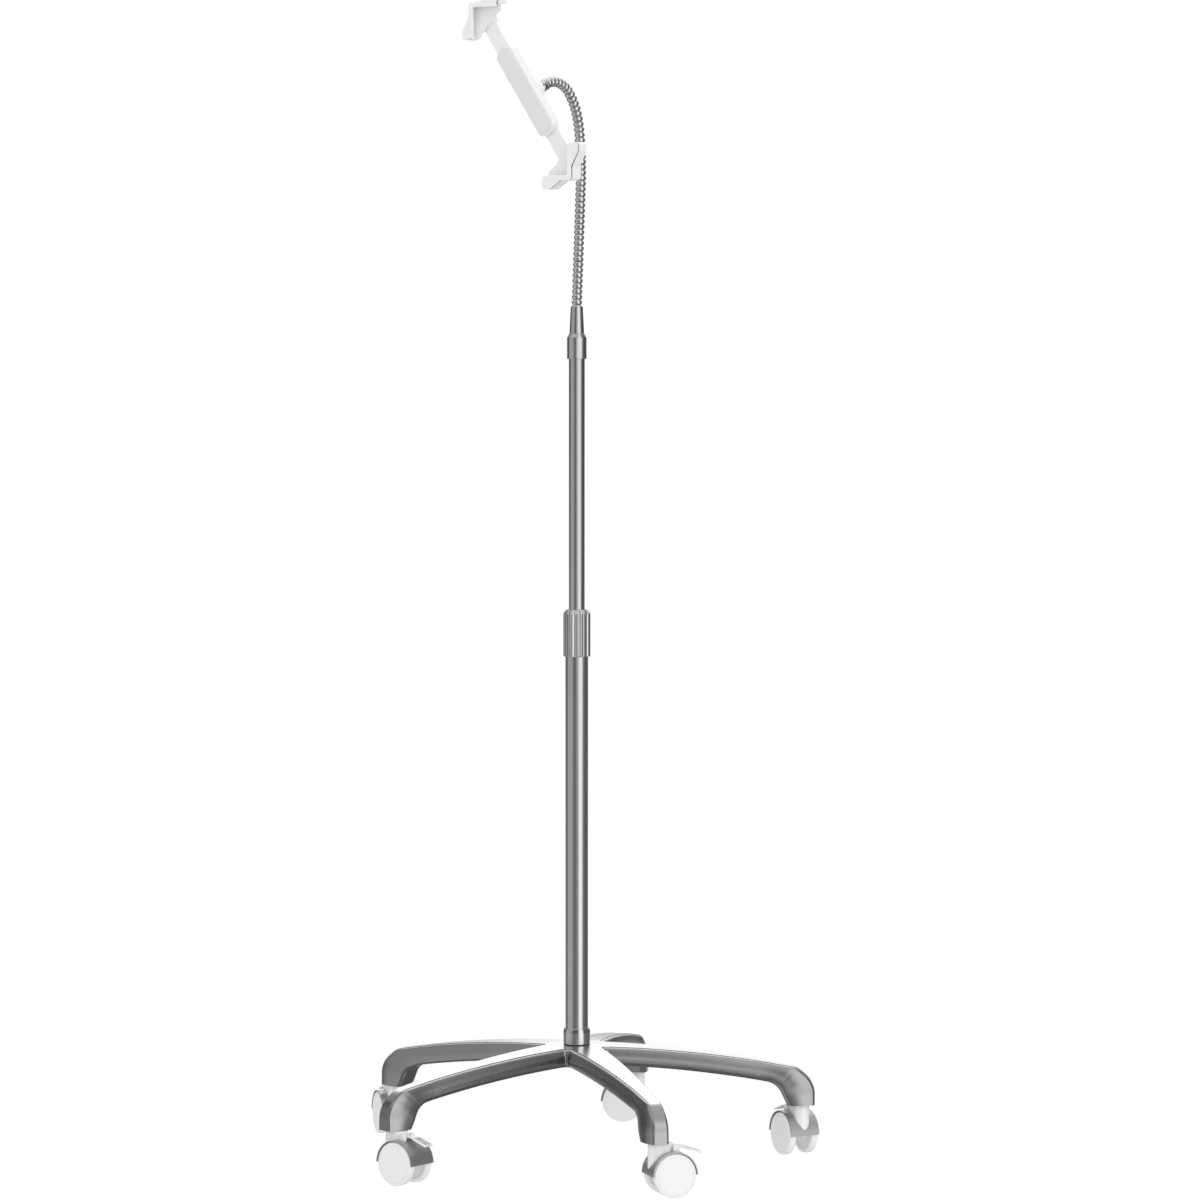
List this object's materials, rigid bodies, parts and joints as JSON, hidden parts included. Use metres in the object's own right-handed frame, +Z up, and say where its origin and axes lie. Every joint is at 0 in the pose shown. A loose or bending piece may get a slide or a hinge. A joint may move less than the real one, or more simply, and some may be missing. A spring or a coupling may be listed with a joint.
{
  "type": "gooseneck floor stand",
  "caption": "Rolling floor stand for a tablet: star base on twin-wheel casters, telescopic pole with a lock collar, ribbed gooseneck and a diagonal holder with two corner grips.",
  "frame": {"origin": "on the pole's axis at floor level", "axes": "+Z up along the pole, -Y out of the face the tablet rests on, towards the person who reads it"},
  "size_m": [0.6919, 0.6457, 1.6244],
  "materials": {
    "cast_aluminium": "cast and polished on the arms' tops, satin on their sides",
    "satin_trim": "satin nickel plating",
    "satin_tube": "satin tube, brushed along its length",
    "neck_metal": "bright plated ribs",
    "steel": "bright zinc",
    "black_rubber": "matt",
    "grey_nylon": "matt",
    "white_plastic": "gloss white",
    "wheel_white": "semi-gloss white",
    "silver_plastic": "satin silver",
    "soft_pad": "soft and matt"
  },
  "bodies": {
    "base": {"base_casting": "cast_aluminium", "base_collar": "satin_trim", "foot_gasket": "black_rubber", "pole_foot_insert": "grey_nylon", "base_bolt": "steel", "caster_stems": "steel", "lower_pole": "satin_tube", "collar_collet": "grey_nylon"},
    "lock_collar": {"height_lock_collar": "satin_trim"},
    "pole_top": {"upper_pole": "satin_tube", "pole_glide_bush": "grey_nylon", "neck_collar": "satin_trim", "neck_cone": "satin_trim", "gooseneck_root": "neck_metal"},
    "neck_1": {"gooseneck_1": "neck_metal"},
    "neck_2": {"gooseneck_2": "neck_metal"},
    "neck_3": {"gooseneck_3": "neck_metal"},
    "neck_4": {"gooseneck_4": "neck_metal"},
    "neck_5": {"gooseneck_5": "neck_metal", "neck_ferrule": "neck_metal"},
    "stud": {"ball_stud": "steel"},
    "bush": {"ball_bush": "grey_nylon"},
    "holder": {"holder_back_shell": "white_plastic", "holder_front_shell": "white_plastic", "holder_pad": "soft_pad", "shell_screws": "steel"},
    "nut": {"ball_nut": "white_plastic"},
    "upper_grip": {"upper_arm": "white_plastic", "corner_grip_upper": "white_plastic", "grip_pads_upper": "soft_pad"},
    "lower_grip": {"lower_arm": "white_plastic", "corner_grip_lower": "white_plastic", "grip_pads_lower": "soft_pad"},
    "gear": {"pinion": "grey_nylon"},
    "caster_1": {"caster_1_housing": "white_plastic", "caster_1_fender": "silver_plastic"},
    "caster_1_left": {"caster_1_wheel_left": "wheel_white"},
    "caster_1_right": {"caster_1_wheel_right": "wheel_white"},
    "caster_1_brake": {"caster_1_brake_lever": "white_plastic"},
    "caster_2": {"caster_2_housing": "white_plastic", "caster_2_fender": "silver_plastic"},
    "caster_2_left": {"caster_2_wheel_left": "wheel_white"},
    "caster_2_right": {"caster_2_wheel_right": "wheel_white"},
    "caster_2_brake": {"caster_2_brake_lever": "white_plastic"},
    "caster_3": {"caster_3_housing": "white_plastic", "caster_3_fender": "silver_plastic"},
    "caster_3_left": {"caster_3_wheel_left": "wheel_white"},
    "caster_3_right": {"caster_3_wheel_right": "wheel_white"},
    "caster_3_brake": {"caster_3_brake_lever": "white_plastic"},
    "caster_4": {"caster_4_housing": "white_plastic", "caster_4_fender": "silver_plastic"},
    "caster_4_left": {"caster_4_wheel_left": "wheel_white"},
    "caster_4_right": {"caster_4_wheel_right": "wheel_white"},
    "caster_4_brake": {"caster_4_brake_lever": "white_plastic"},
    "caster_5": {"caster_5_housing": "white_plastic", "caster_5_fender": "silver_plastic"},
    "caster_5_left": {"caster_5_wheel_left": "wheel_white"},
    "caster_5_right": {"caster_5_wheel_right": "wheel_white"},
    "caster_5_brake": {"caster_5_brake_lever": "white_plastic"}
  },
  "joints": [
    {"name": "pole_height", "type": "slide", "parent": "base", "child": "pole_top", "axis": [0, 0, 1], "range_m": [-0.33, 0.18]},
    {"name": "lock_collar_turn", "type": "hinge", "parent": "base", "child": "lock_collar", "pos_m": [0, 0, 0.73], "axis": [0, 0, 1], "range_deg": [0, 150]},
    {"name": "neck_bend_1", "type": "hinge", "parent": "pole_top", "child": "neck_1", "pos_m": [0, 0.00133, 1.2222], "axis": [1, 0, 0], "range_deg": [-25, 25]},
    {"name": "neck_bend_2", "type": "hinge", "parent": "neck_1", "child": "neck_2", "pos_m": [0, 0.00474, 1.28956], "axis": [0, 0.9987, -0.0506], "range_deg": [-25, 25]},
    {"name": "neck_bend_3", "type": "hinge", "parent": "neck_2", "child": "neck_3", "pos_m": [0, 0.00815, 1.35692], "axis": [1, 0, 0], "range_deg": [-25, 25]},
    {"name": "neck_bend_4", "type": "hinge", "parent": "neck_3", "child": "neck_4", "pos_m": [0, 0.00675, 1.42429], "axis": [0, 0.9949, 0.1006], "range_deg": [-25, 25]},
    {"name": "neck_bend_5", "type": "hinge", "parent": "neck_4", "child": "neck_5", "pos_m": [0, -0.01044, 1.48104], "axis": [1, 0, 0], "range_deg": [-22, 22]},
    {"name": "stud_swivel", "type": "hinge", "parent": "neck_5", "child": "stud", "pos_m": [0, -0.08913, 1.48939], "axis": [0, -0.9135, -0.4067], "range_deg": [-60, 60]},
    {"name": "holder_tilt", "type": "hinge", "parent": "stud", "child": "bush", "pos_m": [0, -0.08913, 1.48939], "axis": [1, 0, 0], "range_deg": [-12, 58]},
    {"name": "holder_turn", "type": "hinge", "parent": "bush", "child": "holder", "pos_m": [0, -0.08913, 1.48939], "axis": [0, 1, 0], "continuous": true},
    {"name": "ball_nut_turn", "type": "hinge", "parent": "holder", "child": "nut", "pos_m": [0, -0.08913, 1.48939], "axis": [0, 1, 0], "range_deg": [0, 120]},
    {"name": "upper_grip_slide", "type": "slide", "parent": "holder", "child": "upper_grip", "axis": [-0.5957, 0, 0.8032], "range_m": [-0.03, 0.026]},
    {"name": "lower_grip_slide", "type": "slide", "parent": "holder", "child": "lower_grip", "axis": [0.5957, 0, -0.8032], "range_m": [-0.03, 0.026]},
    {"name": "gear_spin", "type": "hinge", "parent": "holder", "child": "gear", "pos_m": [0, -0.10663, 1.48939], "axis": [0, -1, 0], "range_deg": [-400, 400]},
    {"name": "caster_1_swivel", "type": "hinge", "parent": "base", "child": "caster_1", "pos_m": [0.23483, 0.21144, 0.06], "axis": [0, 0, 1], "continuous": true},
    {"name": "caster_1_left_roll", "type": "hinge", "parent": "caster_1", "child": "caster_1_left", "pos_m": [0.21642, 0.21926, 0.03], "axis": [-0.3907, -0.9205, 0], "continuous": true},
    {"name": "caster_1_right_roll", "type": "hinge", "parent": "caster_1", "child": "caster_1_right", "pos_m": [0.21642, 0.21926, 0.03], "axis": [-0.3907, -0.9205, 0], "continuous": true},
    {"name": "caster_1_brake_press", "type": "hinge", "parent": "caster_1", "child": "caster_1_brake", "pos_m": [0.21182, 0.22121, 0.066], "axis": [-0.3907, -0.9205, 0], "range_deg": [0, 11]},
    {"name": "caster_2_swivel", "type": "hinge", "parent": "base", "child": "caster_2", "pos_m": [-0.12853, 0.28868, 0.06], "axis": [0, 0, 1], "continuous": true},
    {"name": "caster_2_left_roll", "type": "hinge", "parent": "caster_2", "child": "caster_2_left", "pos_m": [-0.1445, 0.27664, 0.03], "axis": [0.6018, -0.7986, 0], "continuous": true},
    {"name": "caster_2_right_roll", "type": "hinge", "parent": "caster_2", "child": "caster_2_right", "pos_m": [-0.1445, 0.27664, 0.03], "axis": [0.6018, -0.7986, 0], "continuous": true},
    {"name": "caster_2_brake_press", "type": "hinge", "parent": "caster_2", "child": "caster_2_brake", "pos_m": [-0.14849, 0.27364, 0.066], "axis": [0.6018, -0.7986, 0], "range_deg": [0, 11]},
    {"name": "caster_3_swivel", "type": "hinge", "parent": "base", "child": "caster_3", "pos_m": [-0.31427, -0.03303, 0.06], "axis": [0, 0, 1], "continuous": true},
    {"name": "caster_3_left_roll", "type": "hinge", "parent": "caster_3", "child": "caster_3_left", "pos_m": [-0.33104, -0.02214, 0.03], "axis": [-0.5446, -0.8387, 0], "continuous": true},
    {"name": "caster_3_right_roll", "type": "hinge", "parent": "caster_3", "child": "caster_3_right", "pos_m": [-0.33104, -0.02214, 0.03], "axis": [-0.5446, -0.8387, 0], "continuous": true},
    {"name": "caster_3_brake_press", "type": "hinge", "parent": "caster_3", "child": "caster_3_brake", "pos_m": [-0.33524, -0.01942, 0.066], "axis": [-0.5446, -0.8387, 0], "range_deg": [0, 11]},
    {"name": "caster_4_swivel", "type": "hinge", "parent": "base", "child": "caster_4", "pos_m": [-0.0657, -0.3091, 0.06], "axis": [0, 0, 1], "continuous": true},
    {"name": "caster_4_left_roll", "type": "hinge", "parent": "caster_4", "child": "caster_4_left", "pos_m": [-0.0457, -0.3091, 0.03], "axis": [0, 1, 0], "continuous": true},
    {"name": "caster_4_right_roll", "type": "hinge", "parent": "caster_4", "child": "caster_4_right", "pos_m": [-0.0457, -0.3091, 0.03], "axis": [0, 1, 0], "continuous": true},
    {"name": "caster_4_brake_press", "type": "hinge", "parent": "caster_4", "child": "caster_4_brake", "pos_m": [-0.0407, -0.3091, 0.066], "axis": [0, 1, 0], "range_deg": [0, 11]},
    {"name": "caster_5_swivel", "type": "hinge", "parent": "base", "child": "caster_5", "pos_m": [0.27366, -0.158, 0.06], "axis": [0, 0, 1], "continuous": true},
    {"name": "caster_5_left_roll", "type": "hinge", "parent": "caster_5", "child": "caster_5_left", "pos_m": [0.28366, -0.14068, 0.03], "axis": [-0.866, 0.5, 0], "continuous": true},
    {"name": "caster_5_right_roll", "type": "hinge", "parent": "caster_5", "child": "caster_5_right", "pos_m": [0.28366, -0.14068, 0.03], "axis": [-0.866, 0.5, 0], "continuous": true},
    {"name": "caster_5_brake_press", "type": "hinge", "parent": "caster_5", "child": "caster_5_brake", "pos_m": [0.28616, -0.13635, 0.066], "axis": [-0.866, 0.5, 0], "range_deg": [0, 11]}
  ],
  "couplings": [
    {"joint": "lower_grip_slide", "follows": "upper_grip_slide", "ratio": 1},
    {"joint": "gear_spin", "follows": "upper_grip_slide", "rad_per_m": 208.33}
  ]
}
